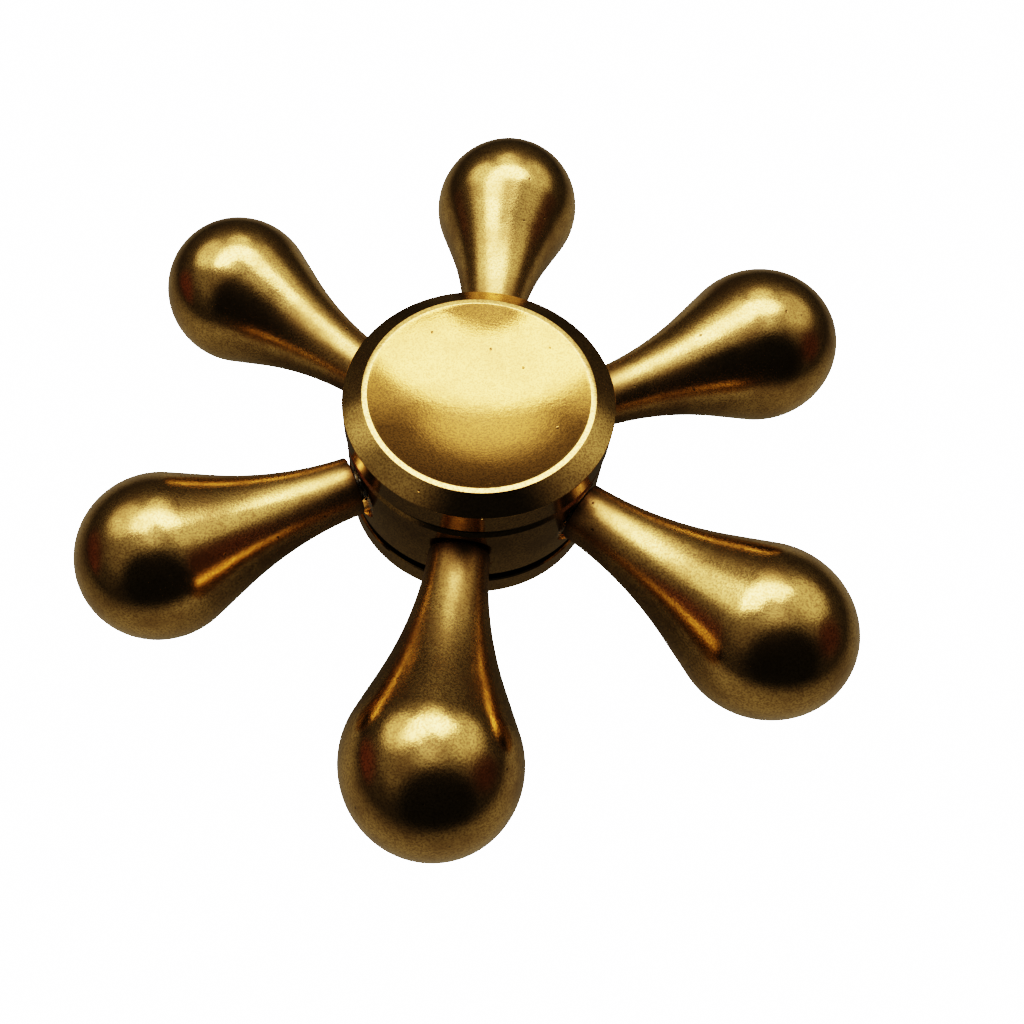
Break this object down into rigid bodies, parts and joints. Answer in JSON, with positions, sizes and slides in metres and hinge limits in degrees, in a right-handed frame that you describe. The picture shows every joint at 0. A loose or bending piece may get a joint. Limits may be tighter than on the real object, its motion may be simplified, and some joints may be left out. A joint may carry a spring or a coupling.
{
  "type": "hand spinner",
  "caption": "Brass hand spinner: a hub with round drop-shaped arms turns on a ball bearing between two dished finger buttons.",
  "frame": {"origin": "on the plane the object stands on, under the middle of the hub, on the spin axis", "axes": "+Z is the spin axis, up through the upper button; -Y points along arm 1; the longest side lies along Y"},
  "size_m": [0.0646, 0.0724, 0.0163],
  "materials": {
    "brass_satin": "satin turned brass with light handling marks",
    "brass_drop": "satin brass, tumbled, darker tarnish at the necks",
    "stud_steel": "plain steel, machined thread",
    "bearing_steel": "ground and polished bearing steel",
    "cage_steel": "pressed steel, satin"
  },
  "bodies": {
    "held_buttons": {"top_cap": "brass_satin", "bottom_cap": "brass_satin", "bearing_inner_ring": "bearing_steel"},
    "rotor": {"hub_ring": "brass_satin", "drop_arm_1": "brass_drop", "drop_arm_2": "brass_drop", "drop_arm_3": "brass_drop", "drop_arm_4": "brass_drop", "drop_arm_5": "brass_drop", "drop_arm_6": "brass_drop", "arm_stud_1": "stud_steel", "arm_stud_2": "stud_steel", "arm_stud_3": "stud_steel", "arm_stud_4": "stud_steel", "arm_stud_5": "stud_steel", "arm_stud_6": "stud_steel", "bearing_outer_ring": "bearing_steel"},
    "ball_cage": {"bearing_cage": "cage_steel"},
    "ball_01": {"bearing_ball_01": "bearing_steel"},
    "ball_02": {"bearing_ball_02": "bearing_steel"},
    "ball_03": {"bearing_ball_03": "bearing_steel"},
    "ball_04": {"bearing_ball_04": "bearing_steel"},
    "ball_05": {"bearing_ball_05": "bearing_steel"},
    "ball_06": {"bearing_ball_06": "bearing_steel"},
    "ball_07": {"bearing_ball_07": "bearing_steel"},
    "ball_08": {"bearing_ball_08": "bearing_steel"},
    "ball_09": {"bearing_ball_09": "bearing_steel"},
    "ball_10": {"bearing_ball_10": "bearing_steel"}
  },
  "joints": [
    {"name": "rotor_spin", "type": "hinge", "parent": "held_buttons", "child": "rotor", "pos_m": [0, 0, 0.00813], "axis": [0, 0, 1], "continuous": true},
    {"name": "ball_cage_spin", "type": "hinge", "parent": "held_buttons", "child": "ball_cage", "pos_m": [0, 0, 0.00813], "axis": [0, 0, 1], "continuous": true},
    {"name": "ball_01_roll", "type": "hinge", "parent": "ball_cage", "child": "ball_01", "pos_m": [0.00476, 0, 0.00813], "axis": [0, 0, 1], "continuous": true},
    {"name": "ball_02_roll", "type": "hinge", "parent": "ball_cage", "child": "ball_02", "pos_m": [0.00385, 0.0028, 0.00813], "axis": [0, 0, 1], "continuous": true},
    {"name": "ball_03_roll", "type": "hinge", "parent": "ball_cage", "child": "ball_03", "pos_m": [0.00147, 0.00453, 0.00813], "axis": [0, 0, 1], "continuous": true},
    {"name": "ball_04_roll", "type": "hinge", "parent": "ball_cage", "child": "ball_04", "pos_m": [-0.00147, 0.00453, 0.00813], "axis": [0, 0, 1], "continuous": true},
    {"name": "ball_05_roll", "type": "hinge", "parent": "ball_cage", "child": "ball_05", "pos_m": [-0.00385, 0.0028, 0.00813], "axis": [0, 0, 1], "continuous": true},
    {"name": "ball_06_roll", "type": "hinge", "parent": "ball_cage", "child": "ball_06", "pos_m": [-0.00476, 0, 0.00813], "axis": [0, 0, 1], "continuous": true},
    {"name": "ball_07_roll", "type": "hinge", "parent": "ball_cage", "child": "ball_07", "pos_m": [-0.00385, -0.0028, 0.00813], "axis": [0, 0, 1], "continuous": true},
    {"name": "ball_08_roll", "type": "hinge", "parent": "ball_cage", "child": "ball_08", "pos_m": [-0.00147, -0.00453, 0.00813], "axis": [0, 0, 1], "continuous": true},
    {"name": "ball_09_roll", "type": "hinge", "parent": "ball_cage", "child": "ball_09", "pos_m": [0.00147, -0.00453, 0.00813], "axis": [0, 0, 1], "continuous": true},
    {"name": "ball_10_roll", "type": "hinge", "parent": "ball_cage", "child": "ball_10", "pos_m": [0.00385, -0.0028, 0.00813], "axis": [0, 0, 1], "continuous": true}
  ],
  "couplings": [
    {"joint": "ball_cage_spin", "follows": "rotor_spin", "ratio": 0.58336},
    {"joint": "ball_01_roll", "follows": "rotor_spin", "ratio": 2.9157},
    {"joint": "ball_02_roll", "follows": "rotor_spin", "ratio": 2.9157},
    {"joint": "ball_03_roll", "follows": "rotor_spin", "ratio": 2.9157},
    {"joint": "ball_04_roll", "follows": "rotor_spin", "ratio": 2.9157},
    {"joint": "ball_05_roll", "follows": "rotor_spin", "ratio": 2.9157},
    {"joint": "ball_06_roll", "follows": "rotor_spin", "ratio": 2.9157},
    {"joint": "ball_07_roll", "follows": "rotor_spin", "ratio": 2.9157},
    {"joint": "ball_08_roll", "follows": "rotor_spin", "ratio": 2.9157},
    {"joint": "ball_09_roll", "follows": "rotor_spin", "ratio": 2.9157},
    {"joint": "ball_10_roll", "follows": "rotor_spin", "ratio": 2.9157}
  ]
}
